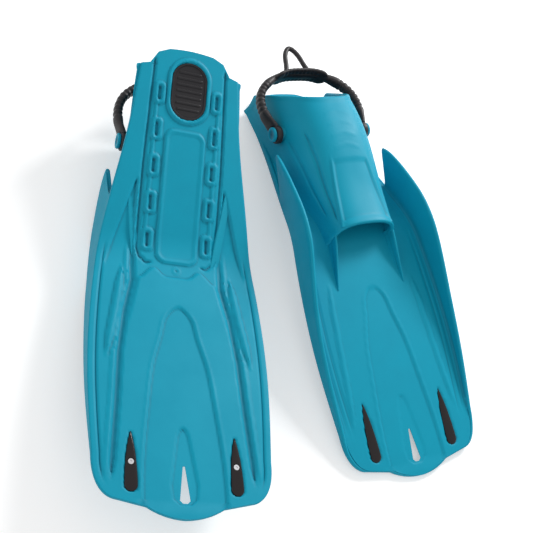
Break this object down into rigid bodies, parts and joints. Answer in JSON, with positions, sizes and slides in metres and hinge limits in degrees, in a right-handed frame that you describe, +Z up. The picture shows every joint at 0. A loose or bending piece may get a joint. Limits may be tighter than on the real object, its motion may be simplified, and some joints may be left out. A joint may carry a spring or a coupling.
{
  "type": "pair of swim fins",
  "caption": "Pair of open-heel swim fins with side rails, vented tips and swinging moulded heel straps; one lies sole up, one sole down.",
  "frame": {"origin": "on the floor under the middle of the pair's box", "axes": "+Z up from the floor; +Y from the tips towards the heels of the left fin, which lies parallel to it; +X from the left fin to the right fin"},
  "size_m": [0.4942, 0.6472, 0.1239],
  "materials": {
    "fin_rubber": "satin moulded elastomer, teal",
    "strap_rubber": "matte silicone rubber, charcoal",
    "badge_plastic": "satin, charcoal",
    "insert_plastic": "gloss, black",
    "screw_steel": "polished stainless steel",
    "bush_brass": "turned"
  },
  "bodies": {
    "fins": {"left_blade": "fin_rubber", "left_foot_pocket": "fin_rubber", "left_sole_badge": "badge_plastic", "left_inner_sole_insert": "insert_plastic", "left_inner_top_insert": "insert_plastic", "left_inner_bush": "bush_brass", "left_inner_screw": "screw_steel", "left_outer_sole_insert": "insert_plastic", "left_outer_top_insert": "insert_plastic", "left_outer_bush": "bush_brass", "left_outer_screw": "screw_steel", "right_blade": "fin_rubber", "right_foot_pocket": "fin_rubber", "right_sole_badge": "badge_plastic", "right_inner_sole_insert": "insert_plastic", "right_inner_top_insert": "insert_plastic", "right_inner_bush": "bush_brass", "right_inner_screw": "screw_steel", "right_outer_sole_insert": "insert_plastic", "right_outer_top_insert": "insert_plastic", "right_outer_bush": "bush_brass", "right_outer_screw": "screw_steel"},
    "left_strap": {"left_heel_strap": "strap_rubber"},
    "right_strap": {"right_heel_strap": "strap_rubber"}
  },
  "joints": [
    {"name": "left_strap_swing", "type": "hinge", "parent": "fins", "child": "left_strap", "pos_m": [-0.14611, 0.12975, 0.04961], "axis": [-1, 0, 0], "range_deg": [-5, 120]},
    {"name": "right_strap_swing", "type": "hinge", "parent": "fins", "child": "right_strap", "pos_m": [0.04774, 0.19018, 0.06424], "axis": [0.9636, 0.2672, 0], "range_deg": [-5, 120]}
  ]
}
